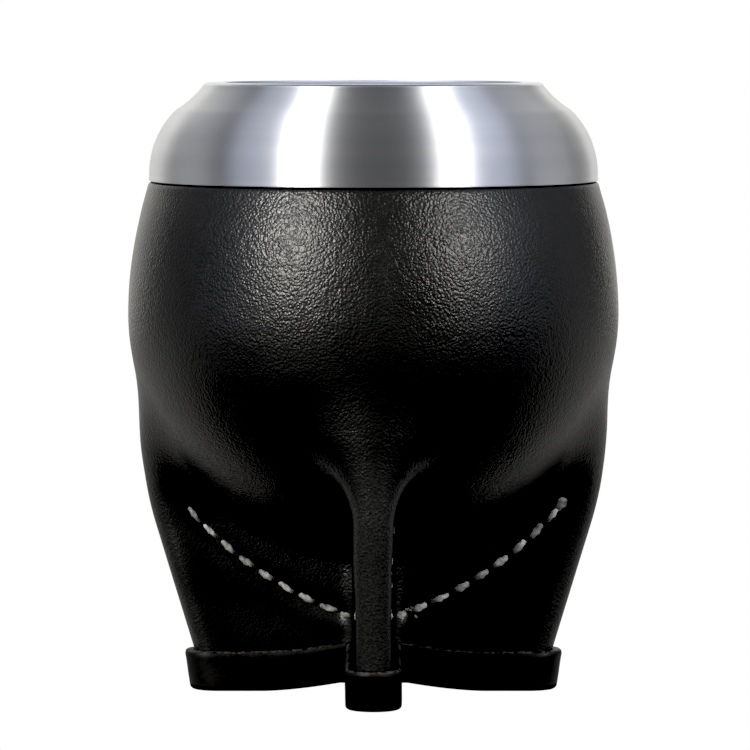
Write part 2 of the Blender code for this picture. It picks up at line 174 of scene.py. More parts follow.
# Dried calabash: bare scraped wood-like shell, matt, tan to brown in long soft streaks that
# run from bottom to mouth, with fine fibres about 0.5 mm apart.
calabash, shader = new_material("dried_calabash", {"Roughness": 0.72, "IOR": 1.5})
place = add_node(calabash, "TexCoord")
stretched = add_node(
    calabash, "Mapping", {"Scale": (1, 1, 0.22)}, {"Vector": place.outputs["Object"]}
)
streaks = add_node(
    calabash, "TexNoise", {"Scale": 130, "Detail": 5, "Roughness": 0.6},
    {"Vector": stretched.outputs[0]},
)
fibres = add_node(
    calabash, "TexNoise", {"Scale": 1900, "Detail": 3}, {"Vector": stretched.outputs[0]}
)
brown = add_node(
    calabash, "ValToRGB", {"stops": ((0.3, "#5a3a1c"), (0.52, "#8a6236"), (0.75, "#a88150"))},
    {"Fac": streaks.outputs["Fac"]},
)
raised = add_node(
    calabash, "Bump", {"Strength": 0.4, "Distance": 0.1 * MM}, {"Height": fibres.outputs["Fac"]}
)
calabash.node_tree.links.new(brown.outputs["Color"], shader.inputs["Base Color"])
calabash.node_tree.links.new(raised.outputs["Normal"], shader.inputs["Normal"])
gourd.data.materials.append(calabash)
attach(gourd, "root")
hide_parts("gourd_shell")


# The resin under the rim. It is poured between neck and metal, cures dark and glossy, and
# nothing of it shows once the rim is on. The plain ring of the frame has the right shape.

resin, shader = new_material("cured_resin", {"Roughness": 0.35, "IOR": 1.55})
place = add_node(resin, "TexCoord")
clouds = add_node(
    resin, "TexNoise", {"Scale": 220, "Detail": 3}, {"Vector": place.outputs["Object"]}
)
dark = add_node(
    resin, "ValToRGB", {"stops": ((0.35, "#2a1c10"), (0.7, "#4a331f"))},
    {"Fac": clouds.outputs["Fac"]},
)
resin.node_tree.links.new(dark.outputs["Color"], shader.inputs["Base Color"])
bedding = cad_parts["rim_bedding"]
bedding.data.materials.clear()
bedding.data.materials.append(resin)


# The leather cover. One sheet of 3 mm pebbled hide is soaked, pulled over the gourd and
# dried on it. Its spare leather is pinched into four two-layer legs under the gourd.

BODY_RADIUS = 47.5
BODY_CENTRE = 74.0
LOWER_DROP = 46.5
UPPER_RISE = 60.7
LEATHER = 2.6
PRESSED_HALF = 2.9
LEG_EDGE_RADIUS = 45.4
LEG_EDGE_TOP = 53.0
LEG_BEND_RADIUS = 72.0
LEG_LEAN = math.radians(16.9)
LEG_BLEND = 9.0
CREASE_BLEND = 3.5
CROTCH_BLEND = 4.0
FOLD_HALF = 3.3
FOLD_GROWTH = 0.012
FOLD_OPENS = 36
FOLD_EASE = 7
HEM_HEIGHT = 1.0
BAND_HEIGHT = 7.8
FOOT_LENGTH = 11.0
FOOT_ARCH = 1.6
SEAM_START = 6.6
SEAM_REACH = 35.4
SEAM_DROP = 8.0
SEAM_ABOVE_BAND = 5.3
SEAM_PULL = 0.42
HOLE_PULL = 0.34
STITCH_PITCH = 4.5
STITCH_COUNT = 8
HOLLOW_DEPTH = 0.26
HOLLOW_SPACING = 26
RIPPLE_DEPTH = 0.34
RIPPLE_SPACING = 9
COLUMNS = 288
OUTLINE_PLACES = 500
TUBE_LENGTH = 0.1


def body_outline(height):
    """Radius of the covered gourd at a height, in millimetres like all the sizes of the cover."""
    rise = UPPER_RISE if height > BODY_CENTRE else LOWER_DROP
    return BODY_RADIUS * math.sqrt(max(0.0, 1 - ((height - BODY_CENTRE) / rise) ** 2))


def body_distance(radius, height):
    """Distance from the covered gourd, positive outside it."""
    rise = np.where(height > BODY_CENTRE, UPPER_RISE, LOWER_DROP)
    level = np.hypot(radius / BODY_RADIUS, (height - BODY_CENTRE) / rise)
    slope = np.hypot(radius / BODY_RADIUS**2, (height - BODY_CENTRE) / rise**2)
    return level * (level - 1) / slope


def leg_edge(height):
    """Radius of a leg's outer fold: upright, then a wide bend, then straight to the ground."""
    if height > BODY_CENTRE:
        return body_outline(height)
    below = max(0.0, LEG_EDGE_TOP - height)
    bend = LEG_BEND_RADIUS * math.sin(LEG_LEAN)
    if below <= bend:
        inward = LEG_BEND_RADIUS - math.sqrt(LEG_BEND_RADIUS**2 - below**2)
    else:
        inward = LEG_BEND_RADIUS * (1 - math.cos(LEG_LEAN)) + (below - bend) * math.tan(LEG_LEAN)
    edge = LEG_EDGE_RADIUS - inward
    body = body_outline(height)
    softness = min(1.0, max(0.0, (BODY_CENTRE - 3 - height) / 12))
    return (body + edge + math.sqrt((body - edge) ** 2 + softness**2)) / 2


def leg_tip(height):
    """Radius of the fold itself, set so that body and fold together blend out to the edge."""
    edge = leg_edge(height)
    away = min(LEG_BLEND, max(0.0, float(body_distance(edge, height))))
    return edge - (math.sqrt(LEG_BLEND) - math.sqrt(away)) ** 2


def soft_step(low, high, value):
    """0 below the low value, 1 above the high one, and a smooth rise between them."""
    share = np.clip((value - low) / (high - low), 0, 1)
    return share * share * (3 - 2 * share)


def fold_half(height):
    """Half the width of a leg's outer fold, which stays plump and opens out into the body."""
    opening = min(4.5, 0.04 * max(0.0, height - FOLD_OPENS) ** 1.7)
    return FOLD_HALF + FOLD_GROWTH * min(height, 50) + opening


def blend(first, second, reach):
    """The smaller of two distances, rounded off where they are close."""
    share = np.maximum(0, reach - np.abs(first - second)) / reach
    return np.minimum(first, second) - share * share * reach / 4


def cover_distance(along, across, height):
    """Distance from the outside of the leather, measured between two legs."""
    fold = fold_half(height)
    pressed = min(fold, PRESSED_HALF + FOLD_GROWTH * height)
    outer = leg_tip(height)
    tip = outer - fold
    first_half = pressed + (fold - pressed) * soft_step(tip - FOLD_EASE, tip, along)
    second_half = pressed + (fold - pressed) * soft_step(tip - FOLD_EASE, tip, across)
    first = np.hypot(np.maximum(0, along - tip), across) - first_half
    second = np.hypot(np.maximum(0, across - tip), along) - second_half
    legs = blend(first, second, CROTCH_BLEND)
    opened = soft_step(outer - 16, outer - 3, np.maximum(along, across))
    reach = CREASE_BLEND + (LEG_BLEND - CREASE_BLEND) * opened
    return blend(body_distance(np.hypot(along, across), height), legs, reach)


def solve(distance, inside, outside):
    """Where a distance crosses zero, between a place inside and a place outside."""
    for _ in range(30):
        middle = (inside + outside) / 2
        beyond = distance(middle) > 0
        outside = np.where(beyond, middle, outside)
        inside = np.where(beyond, inside, middle)
    return (inside + outside) / 2


def quarter_ring(height):
    """The leather's outline at a height, from the middle of one leg to the middle of the next."""
    angles = math.radians(45) * np.linspace(0, 1, OUTLINE_PLACES) ** 1.4
    east, north = np.cos(angles), np.sin(angles)
    start = np.full(OUTLINE_PLACES, 0.5)
    reach = solve(lambda r: cover_distance(r * east, r * north, height), start, start + 60)
    points = np.stack([reach * east, reach * north], 1)
    steps = np.diff(points, axis=0)
    heading = np.unwrap(np.arctan2(steps[:, 1], steps[:, 0]))
    turning = np.abs(np.diff(heading, prepend=heading[0]))
    measure = np.concatenate([[0], np.cumsum(np.hypot(*steps.T) + 9 * turning)])
    wanted = np.linspace(0, measure[-1], COLUMNS // 8 + 1)
    eighth = np.stack([np.interp(wanted, measure, points[:, axis]) for axis in (0, 1)], 1)
    return np.concatenate([eighth, eighth[-2::-1, ::-1]])[:-1]


def foot_arch(along):
    """How far the hem has risen off the ground this far out along a leg."""
    start = leg_edge(0.0) - FOOT_LENGTH
    share = np.clip((start - along) / (start - SEAM_START), 0, 1)
    return FOOT_ARCH * share**1.6


def seam_height(along):
    """Height of the stitched line at a distance along a leg."""
    deepest = BODY_CENTRE - LOWER_DROP - BAND_HEIGHT - SEAM_ABOVE_BAND
    drop = SEAM_DROP + (deepest - SEAM_DROP) * np.maximum(0, 1 - along / SEAM_REACH) ** 1.4
    underside = LOWER_DROP * np.sqrt(1 - np.minimum(0.999, along / BODY_RADIUS) ** 2)
    return BODY_CENTRE - underside - drop


def seam_holes():
    """The awl holes along a leg, one stitch apart."""
    holes = []
    along = SEAM_START
    for _ in range(STITCH_COUNT + 1):
        slope = float(seam_height(along + 0.1) - seam_height(along - 0.1))
        direction = Vector((0.2, slope)).normalized()
        holes.append(Vector((along, float(seam_height(along)))))
        along += STITCH_PITCH * direction.x
    return holes


def face_offset(along, height):
    """How far a leg's face stands from the leg's middle plane, at a place on the face."""
    return float(solve(lambda across: cover_distance(along, across, height), 1.0, 24.0))


def pick_edges(piece, wanted):
    """Select the edges whose two ends pass a test, and nothing else."""
    shape = bmesh.from_edit_mesh(piece.data)
    for edge in shape.edges:
        edge.select = wanted(edge.verts[0].co, edge.verts[1].co)
    bmesh.update_edit_mesh(piece.data)


# The sleeve starts as a plain open tube, is cut into rings, and every ring is then drawn in
# onto the gourd and the pinched folds, which is what the wet leather does on its former.
levels = list(np.arange(HEM_HEIGHT, 27.0, 0.9)) + list(np.arange(27.4, 46.0, 0.55))
levels += list(np.arange(46.5, 96.0, 0.95))
outlines = [quarter_ring(level) for level in levels]
corners = np.linspace(0, math.pi / 2, COLUMNS // 4, endpoint=False)
ROLLED_TOP = (
    (96.8, 43.98),
    (97.5, 43.84),
    (98.1, 43.68),
    (98.5, 43.5),
    (98.72, 43.25),
    (98.82, 42.8),
    (98.86, 42.2),
    (99.6, 42.0),
    (104.0, 41.3),
)
for level, radius in ROLLED_TOP:
    levels.append(level)
    outlines.append(np.stack([radius * np.cos(corners), radius * np.sin(corners)], 1))
quarters = [np.array(turn) for turn in ([[0, -1], [1, 0]], [[-1, 0], [0, -1]], [[0, 1], [-1, 0]])]
rings = np.array(
    [np.concatenate([ring] + [ring @ turn.T for turn in quarters]) for ring in outlines]
)
levels = np.array(levels)

bpy.ops.mesh.primitive_cylinder_add(
    vertices=COLUMNS,
    radius=BODY_RADIUS * MM,
    depth=TUBE_LENGTH,
    end_fill_type="NOTHING",
    location=(0, 0, TUBE_LENGTH / 2),
)
leather = add_piece("leather_sleeve")
bpy.ops.mesh.select_mode(type="EDGE")
pick_edges(leather, lambda start, end: abs(start.z - end.z) > TUBE_LENGTH / 2)
bpy.ops.mesh.subdivide(number_cuts=len(levels) - 2)
bpy.ops.object.mode_set(mode="OBJECT")
bpy.ops.object.transform_apply(location=True, rotation=True, scale=True)

points = np.zeros(len(leather.data.vertices) * 3)
leather.data.vertices.foreach_get("co", points)
points = points.reshape(-1, 3)
share = np.arctan2(points[:, 1], points[:, 0]) / (2 * math.pi)
column = np.round(share * COLUMNS).astype(int) % COLUMNS
row = np.round(points[:, 2] / TUBE_LENGTH * (len(levels) - 1)).astype(int)
flat = rings[row, column]
height = levels[row]
along = np.abs(flat).max(1)
across = np.abs(flat).min(1)

# The sewing pulls the faces of each leg together along the seam, most of all at every hole.
holes = seam_holes()
from_seam = (height - seam_height(along)) * 0.85
on_face = np.clip((along - 4.5) / 2.0, 0, 1) * np.clip((38.0 - along) / 2.5, 0, 1) * (across < 7)
pull = SEAM_PULL * np.exp(-((from_seam / 1.25) ** 2))
for hole in holes:
    pull += HOLE_PULL * np.exp(-((along - hole.x) ** 2 + (height - hole.y) ** 2) / 0.9**2)
swell_above = 0.22 * np.exp(-(((from_seam - 3.0) / 1.6) ** 2))
swell_below = 0.16 * np.exp(-(((from_seam + 2.6) / 1.4) ** 2))
pull -= swell_above + swell_below
sideways = np.where(np.abs(flat) < along[:, None] - 0.001, np.sign(flat), 0)
lean_in = -sideways * (pull * on_face)[:, None]

# Hide is never quite even: the body keeps soft hollows, and the legs ripple a little more.
loose = np.clip((height - 11) / 8, 0, 1) * np.clip((97 - height) / 6, 0, 1)
ripple = np.clip((52 - height) / 20, 0, 1)
spread = np.zeros(len(points))
for index, (x, y) in enumerate(flat):
    spot = Vector((x, y, height[index]))
    hollow = HOLLOW_DEPTH * noise.noise(spot / HOLLOW_SPACING)
    spread[index] = hollow + ripple[index] * RIPPLE_DEPTH * noise.noise(spot / RIPPLE_SPACING)
outward = flat / np.maximum(1e-6, np.hypot(*flat.T))[:, None]
side_on = np.clip((42 - height) / 8, 0, 1)[:, None]
shift = (outward * (1 - side_on) + sideways * side_on) * (spread * loose)[:, None]
flat = flat + lean_in + shift
rise = foot_arch(along) * np.clip((15 - height) / 7, 0, 1)
points = np.stack([flat[:, 0], flat[:, 1], height + rise], 1) * MM
leather.data.vertices.foreach_set("co", points.ravel())
leather.data.update()

# Handling rubs and greys the folded outer edges, so a value for that wear goes along them. A
# second value is 0 on the gourd and 1 out on the legs, where two layers are pressed flat.
edge_radius = np.array([leg_edge(level) for level in levels])[row]
wear = np.exp(-(((edge_radius - along) / 2.2) ** 2)) * np.clip((50 - height) / 10, 0, 1)
worn = leather.data.attributes.new("worn_fold", "FLOAT", "POINT")
worn.data.foreach_set("value", wear)
pressed = leather.data.attributes.new("pressed_flat", "FLOAT", "POINT")
away = body_distance(np.hypot(along, across), height)
pressed.data.foreach_set("value", soft_step(0, 14, away))
bpy.ops.object.mode_set(mode="EDIT")
finish_piece(
    leather,
    (
        "SOLIDIFY",
        {
            "thickness": LEATHER * MM,
            "offset": -1,
            "use_even_offset": True,
            "use_quality_normals": True,
        },
    ),
)

# Pebbled, drum-dyed black hide under a thin dull wax: small rounded grains about 0.5 mm apart
# with dark creases between, over a finer pore, which sparkle where a light glances off them.
# The grain is shallower and duller on the pressed legs, and rubbed folds are a little greyer.
hide, shader = new_material(
    "black_pebbled_leather",
    {"IOR": 1.5, "Specular IOR Level": 0.33, "Coat Weight": 0.16, "Coat Roughness": 0.6},
)
place = add_node(hide, "TexCoord")
wander = add_node(
    hide, "TexNoise", {"Scale": 420, "Detail": 2}, {"Vector": place.outputs["Object"]}
)
bent = add_node(
    hide, "MixRGB", {"blend_type": "LINEAR_LIGHT", "Fac": 0.0006},
    {1: place.outputs["Object"], 2: wander.outputs["Color"]},
)
pebbles = add_node(
    hide, "TexVoronoi",
    {"feature": "SMOOTH_F1", "Scale": 1900, "Smoothness": 0.25, "Randomness": 1},
    {"Vector": bent.outputs[0]},
)
pores = add_node(
    hide, "TexNoise", {"Scale": 2600, "Detail": 4, "Roughness": 0.6},
    {"Vector": place.outputs["Object"]},
)
patches = add_node(
    hide, "TexNoise", {"Scale": 75, "Detail": 4, "Roughness": 0.55},
    {"Vector": place.outputs["Object"]},
)
wrinkles = add_node(
    hide, "TexNoise", {"Scale": 260, "Detail": 3, "Roughness": 0.5},
    {"Vector": place.outputs["Object"]},
)
soft = add_node(
    hide, "Bump", {"Strength": 0.06, "Distance": 0.35 * MM}, {"Height": wrinkles.outputs["Fac"]}
)
flattened = add_node(hide, "Attribute", {"attribute_name": "pressed_flat"})
rubbed = add_node(hide, "Attribute", {"attribute_name": "worn_fold"})
depth = add_node(
    hide, "MapRange", {"To Min": 0.74, "To Max": 0.3}, {"Value": flattened.outputs["Fac"]}
)
deeper = add_node(
    hide, "Math", {"operation": "MULTIPLY_ADD", 1: 0.6},
    {0: rubbed.outputs["Fac"], 2: depth.outputs[0]},
)
grain = add_node(
    hide, "Bump", {"invert": True, "Distance": 0.115 * MM},
    {
        "Strength": deeper.outputs[0],
        "Height": pebbles.outputs["Distance"],
        "Normal": soft.outputs["Normal"],
    },
)
fine = add_node(
    hide, "Bump", {"Strength": 0.35, "Distance": 0.05 * MM},
    {"Height": pores.outputs["Fac"], "Normal": grain.outputs["Normal"]},
)
shine = add_node(
    hide, "MapRange", {"From Min": 0.3, "From Max": 0.7, "To Min": 0.27, "To Max": 0.34},
    {"Value": patches.outputs["Fac"]},
)
duller = add_node(
    hide, "Math", {"operation": "MULTIPLY_ADD", 1: 0.05},
    {0: flattened.outputs["Fac"], 2: shine.outputs[0]},
)
dye = add_node(
    hide, "ValToRGB", {"stops": ((0.35, "#080808"), (0.7, "#0f0f0f"))},
    {"Fac": patches.outputs["Fac"]},
)
specks = add_node(
    hide, "TexNoise", {"Scale": 2100, "Detail": 2, "Roughness": 0.6},
    {"Vector": place.outputs["Object"]},
)
bare = add_node(
    hide, "MapRange", {"From Min": 0.4, "From Max": 0.64, "To Min": 0.4, "To Max": 1.0},
    {"Value": specks.outputs["Fac"]},
)
scuff = add_node(
    hide, "Math", {"operation": "MULTIPLY"}, {0: rubbed.outputs["Fac"], 1: bare.outputs[0]}
)
greyed = add_node(
    hide, "MixRGB", {2: linear("#2a2a2a")}, {"Fac": scuff.outputs[0], 1: dye.outputs["Color"]}
)
hide.node_tree.links.new(greyed.outputs[0], shader.inputs["Base Color"])
hide.node_tree.links.new(duller.outputs[0], shader.inputs["Roughness"])
hide.node_tree.links.new(fine.outputs["Normal"], shader.inputs["Normal"])
hide.node_tree.links.new(fine.outputs["Normal"], shader.inputs["Coat Normal"])
leather.data.materials.append(hide)
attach(leather, "root")
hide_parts("leather_cover")


# The seams. Two needles carry one waxed, twisted thread through every awl hole from both
# sides, so each face of a leg shows a row of plump stitches that dip into the holes.

THREAD_HALF_WIDTH = 0.7
THREAD_HALF_HEIGHT = 0.46
THREAD_PINCHED = 0.3
STITCH_LIFT = 0.3
STITCH_SUNK = 0.35
STITCH_RINGS = 17
SEAM_INNER_END = 3.7
KNOT_PLACE = 6.4
LOOSE_PLIES = 9

scene = bpy.context.scene
bpy.ops.mesh.primitive_cylinder_add(
    vertices=12, radius=1, depth=STITCH_PITCH, location=(0, 0, 0), rotation=(0, math.pi / 2, 0)
)
stitch = add_piece("stitch")
bpy.ops.mesh.select_mode(type="EDGE")
pick_edges(stitch, lambda start, end: abs(start.z - end.z) > 1)
bpy.ops.mesh.subdivide(number_cuts=STITCH_RINGS)
bpy.ops.object.mode_set(mode="OBJECT")
bpy.ops.object.transform_apply(location=True, rotation=True, scale=True)

# The rod is drawn out into one stitch: plump and twisted on top, thin where it dips in.
for point in stitch.data.vertices:
    share = 2 * point.co.x / STITCH_PITCH
    angle = math.atan2(point.co.z, point.co.y)
    plump = max(0.0, 1 - abs(share) ** 1.7)
    twist = 1 + 0.12 * math.cos(2 * (angle - 4.2 * share))
    half_width = (THREAD_PINCHED + (THREAD_HALF_WIDTH - THREAD_PINCHED) * plump) * twist
    half_height = (THREAD_PINCHED + (THREAD_HALF_HEIGHT - THREAD_PINCHED) * plump) * twist
    lift = STITCH_LIFT - 1.7 * abs(share) ** 3
    out = lift + half_height * math.sin(angle)
    point.co = Vector((point.co.x, half_width * math.cos(angle), out))
bpy.ops.object.shade_smooth()
bpy.ops.object.select_all(action="DESELECT")


def lay_stitch(middle, heading, side, degrees, sizes, wobble):
    """Copy the stitch onto a leg's face, along a heading in the leg's own plane."""
    piece = stitch.copy()
    piece.data = stitch.data.copy()
    scene.collection.objects.link(piece)
    face = face_offset(middle.x, middle.y) - STITCH_SUNK
    forward = Vector((heading.x, 0, heading.y))
    outward = Vector((0, side, 0))
    basis = Matrix((forward, outward.cross(forward), outward)).transposed()
    basis = Matrix.Rotation(wobble, 3, outward) @ basis @ Matrix.Diagonal(sizes)
    placed = Matrix.Translation(Vector((middle.x, side * face, middle.y))) @ basis.to_4x4()
    leg = Matrix.Scale(MM, 4) @ Matrix.Rotation(math.radians(degrees), 4, "Z")
    piece.data.transform(leg @ placed)
    return piece


# Waxed twisted linen thread, light grey: the wax gives a dull shine, its plies, about 0.4 mm
# apart, catch the light, and handling has darkened it in patches.
linen, shader = new_material(
    "waxed_linen_thread", {"Roughness": 0.55, "IOR": 1.5, "Sheen Weight": 0.2}
)
place = add_node(linen, "TexCoord")
dirt = add_node(
    linen, "TexNoise", {"Scale": 330, "Detail": 4, "Roughness": 0.65},
    {"Vector": place.outputs["Object"]},
)
plies = add_node(
    linen, "TexNoise", {"Scale": 2400, "Detail": 2}, {"Vector": place.outputs["Object"]}
)
grey = add_node(
    linen, "ValToRGB", {"stops": ((0.32, "#4b4a48"), (0.5, "#8b8986"), (0.68, "#cbc9c5"))},
    {"Fac": dirt.outputs["Fac"]},
)
raised = add_node(
    linen, "Bump", {"Strength": 0.6, "Distance": 0.12 * MM}, {"Height": plies.outputs["Fac"]}
)
linen.node_tree.links.new(grey.outputs["Color"], shader.inputs["Base Color"])
linen.node_tree.links.new(raised.outputs["Normal"], shader.inputs["Normal"])

hand = random.Random(7)
inner_end = Vector((SEAM_INNER_END, float(seam_height(SEAM_INNER_END))))
places = [inner_end] + holes
for name, degrees in (("right", 0), ("back", 90), ("left", 180), ("front", 270)):
    laid = []
    # Every stitch differs a little, and those of the left leg were drawn tighter and thinner.
    for side in (1, -1):
        for start, end in zip(places, places[1:]):
            long = (end - start).length / STITCH_PITCH
            wide = hand.uniform(0.8, 1.08) * (0.8 if name == "left" else 1.0)
            sizes = Vector((long, wide, hand.uniform(0.9, 1.1)))
            wobble = hand.uniform(-0.12, 0.12)
            heading = (end - start).normalized()
            laid.append(lay_stitch((start + end) / 2, heading, side, degrees, sizes, wobble))
    # The thread is tied off at the outer end with one fat back stitch, but not on the front leg.
    if name != "front":
        middle = places[-1] + Vector((0.1, 0.5))
        heading = (places[-1] - places[-2]).normalized()
        laid.append(lay_stitch(middle, heading, -1, degrees, Vector((0.95, 1.35, 1.15)), 0.1))
    # At the inner end its loose plies are knotted and left to fray.
    knot_height = float(seam_height(KNOT_PLACE))
    for _ in range(LOOSE_PLIES):
        reach = KNOT_PLACE + hand.uniform(-1.2, 2.2)
        middle = Vector((reach, knot_height + hand.uniform(-1.6, 0.9)))
        turn = hand.uniform(0, math.pi)
        heading = Vector((math.cos(turn), math.sin(turn)))
        sizes = Vector((hand.uniform(0.2, 0.42), hand.uniform(0.3, 0.55), hand.uniform(0.5, 0.9)))
        laid.append(lay_stitch(middle, heading, -1, degrees, sizes, 0))
    for piece in laid:
        piece.select_set(True)
    bpy.context.view_layer.objects.active = laid[0]
    bpy.ops.object.join()
    seam = bpy.context.active_object
    seam.name = seam.data.name = "sewn_thread_" + name
    bpy.ops.object.select_all(action="DESELECT")
    seam.data.materials.append(linen)
    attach(seam, "root")
    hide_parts("seam_thread_" + name)
bpy.data.objects.remove(stitch, do_unlink=True)


# The foot bands. A strip of 1.8 mm strap leather is glued round the foot of each leg. Its
# top edge is pared thin and left rough, and its corners are rubbed round by the table.

BAND_THICKNESS = 1.8
BAND_GAP = 0.25
BAND_START = 5.35
STRIP_LENGTH = 70
PARED_FROM = 7.0
PARED_HEIGHT = 0.8


def wrap_foot(share, offset, height):
    """A place on the way round a leg's foot, from one inner end (0) to the other (1)."""
    half = fold_half(height)
    centre = leg_edge(3.5 + 0.5 * height) - half
    straight = centre - BAND_START
    whole = 2 * straight + math.pi * half
    reach = abs(share - 0.5) * whole
    side = 1 if share > 0.5 else -1
    out = half + offset
    if reach < math.pi * half / 2:
        angle = reach / half
        return Vector((centre + out * math.cos(angle), side * out * math.sin(angle), height))
    return Vector((centre - (reach - math.pi * half / 2), side * out, height))


# Black-dyed strap leather with pared edges: a flat satin face with no grain, and a raw greyish
# fringe of fibres about 1 mm apart along the pared top edge and in scuffs near the ground.
strap, shader = new_material("black_strap_leather", {"IOR": 1.5, "Specular IOR Level": 0.2})
place = add_node(strap, "TexCoord")
fringe = add_node(strap, "Attribute", {"attribute_name": "pared_edge"})
fibres = add_node(
    strap, "TexNoise", {"Scale": 900, "Detail": 5, "Roughness": 0.7},
    {"Vector": place.outputs["Object"]},
)
patches = add_node(
    strap, "TexNoise", {"Scale": 160, "Detail": 4, "Roughness": 0.6},
    {"Vector": place.outputs["Object"]},
)
rough_edge = add_node(
    strap, "Math", {"operation": "MULTIPLY"}, {0: fringe.outputs["Fac"], 1: fibres.outputs["Fac"]}
)
shown = add_node(
    strap, "MapRange", {"From Min": 0.42, "From Max": 0.66}, {"Value": rough_edge.outputs[0]}
)
dye = add_node(
    strap, "ValToRGB", {"stops": ((0.35, "#080808"), (0.7, "#101010"))},
    {"Fac": patches.outputs["Fac"]},
)
raw = add_node(
    strap, "MixRGB", {2: linear("#4a4845")}, {"Fac": shown.outputs[0], 1: dye.outputs["Color"]}
)
shine = add_node(
    strap, "MapRange", {"From Min": 0.3, "From Max": 0.7, "To Min": 0.4, "To Max": 0.62},
    {"Value": patches.outputs["Fac"]},
)
raised = add_node(
    strap, "Bump", {"Strength": 0.6, "Distance": 0.12 * MM}, {"Height": fibres.outputs["Fac"]}
)
strap.node_tree.links.new(raw.outputs[0], shader.inputs["Base Color"])
strap.node_tree.links.new(shine.outputs[0], shader.inputs["Roughness"])
strap.node_tree.links.new(raised.outputs["Normal"], shader.inputs["Normal"])

bpy.ops.mesh.primitive_cube_add(size=1, location=(0, 0, 0))
band = add_piece("foot_strip_right")
bpy.ops.mesh.select_all(action="SELECT")
bpy.ops.transform.resize(value=(STRIP_LENGTH, BAND_THICKNESS, BAND_HEIGHT))
bpy.ops.mesh.select_all(action="DESELECT")
bpy.ops.mesh.select_mode(type="EDGE")


def runs_along(start, end):
    """Whether an edge of the straight strip runs from one of its ends to the other."""
    return abs(start.x - end.x) > STRIP_LENGTH - 10


# The outer bottom edge is rounded wide and the outer top edge a little. The strip is then cut
# across, so that it can bend, and its faces are cut lengthwise.
pick_edges(
    band, lambda start, end: runs_along(start, end) and min(start.y, end.y) > 0 and start.z < 0
)
bpy.ops.mesh.bevel(offset=0.75, segments=5, affect="EDGES")
top_edge = BAND_HEIGHT / 2 - 0.01
pick_edges(
    band,
    lambda start, end: runs_along(start, end) and min(start.y, end.y) > 0 and start.z > top_edge,
)
bpy.ops.mesh.bevel(offset=0.3, segments=3, affect="EDGES")
pick_edges(band, runs_along)
bpy.ops.mesh.subdivide(number_cuts=150)
pick_edges(band, lambda start, end: abs(start.z - end.z) > 4 and abs(start.x - end.x) < 0.01)
bpy.ops.mesh.subdivide(number_cuts=12)
bpy.ops.object.mode_set(mode="OBJECT")
fringe = band.data.attributes.new("pared_edge", "FLOAT", "POINT")
for index, point in enumerate(band.data.vertices):
    out = point.co.y / BAND_THICKNESS + 0.5
    level = point.co.z + BAND_HEIGHT / 2
    spot = Vector((point.co.x, 3.0, level))
    pared = max(0.0, (level - PARED_FROM) / PARED_HEIGHT)
    thickness = BAND_THICKNESS * (1 - 0.25 * pared**2)
    offset = BAND_GAP + out * thickness + out * 0.05 * noise.noise(spot / 3.5)
    bitten = pared * 0.1 * noise.noise(spot / 1.1) + pared * 0.12 * noise.noise(spot / 5)
    placed = wrap_foot(point.co.x / STRIP_LENGTH + 0.5, offset, level + bitten)
    placed.z += float(foot_arch(placed.x))
    fringe.data[index].value = min(1.0, pared * 1.6 * out**3 + 0.3 * max(0.0, 1 - level / 1.2))
    point.co = placed * MM
bpy.ops.object.mode_set(mode="EDIT")
bpy.ops.mesh.select_all(action="SELECT")
bpy.ops.mesh.normals_make_consistent(inside=False)
finish_piece(band)
band.data.materials.append(strap)
for name, degrees in (("right", 0), ("back", 90), ("left", 180), ("front", 270)):
    if degrees:
        turned = band.copy()
        turned.data = band.data.copy()
        turned.name = turned.data.name = "foot_strip_" + name
        turned.data.transform(Matrix.Rotation(math.radians(degrees), 4, "Z"))
        scene.collection.objects.link(turned)
    else:
        turned = band
    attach(turned, "root")
    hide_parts("foot_band_" + name)


# The rim. A disc of aluminium is spun over a former into skirt, shoulder, hollow neck, flat
# lip and throat, polished while it turns, and bedded in resin over the leather's top edge.

RIM_SHEET = 1.0
RIM_TOP = 118.0
SKIRT_EDGE = ((43.25, 99.0), (43.47, 99.12), (43.52, 99.4), (43.44, 99.75))
SHOULDER = (38.2, 112.7)
LIP_EDGE = (33.0, 117.3)
LIP_FLAT = (31.9, 31.2, 30.2, 29.2, 28.5)
MOUTH_RADIUS = 27.2
MOUTH_CURL = 1.3
THROAT_DROPS = (2.5, 5.0, 8.0, 11.0, 14.0)
PLAIN_ABOVE = 117.5
MATT_FROM = 29.0
MATT_TO = 28.4


def arc_through(start, end, bulge, count):
    """Places on an arc between two points that stands off the straight line by the bulge."""
    start, end = Vector(start), Vector(end)
    chord = end - start
    right = Vector((chord.y, -chord.x)).normalized()
    radius = (chord.length**2 / 4 + bulge**2) / (2 * abs(bulge))
    centre = (start + end) / 2 + right * (bulge - math.copysign(radius, bulge))
    first = start - centre
    sweep = first.angle_signed(end - centre)
    turns = [Matrix.Rotation(-sweep * step / count, 2) for step in range(1, count + 1)]
    return [centre + turn @ first for turn in turns]


path = [Vector(place) for place in SKIRT_EDGE]
path += arc_through(SKIRT_EDGE[-1], SHOULDER, 1.5, 22)
path += arc_through(SHOULDER, LIP_EDGE, -0.3, 9)
path += arc_through(LIP_EDGE, (LIP_FLAT[0], RIM_TOP), 0.22, 5)
path += [Vector((radius, RIM_TOP)) for radius in LIP_FLAT[1:]]
path += arc_through((LIP_FLAT[-1], RIM_TOP), (MOUTH_RADIUS, RIM_TOP - MOUTH_CURL), -0.38, 6)
path += [Vector((MOUTH_RADIUS, RIM_TOP - drop)) for drop in THROAT_DROPS]
bpy.ops.mesh.primitive_circle_add(
    vertices=256, radius=path[0].x * MM, fill_type="NOTHING", location=(0, 0, path[0].y * MM)
)
rim = add_piece("spun_rim")
bpy.ops.mesh.select_all(action="SELECT")
for before, after in zip(path, path[1:]):
    draw_ring_up(before.x, before.y * MM, after.x, after.y * MM)
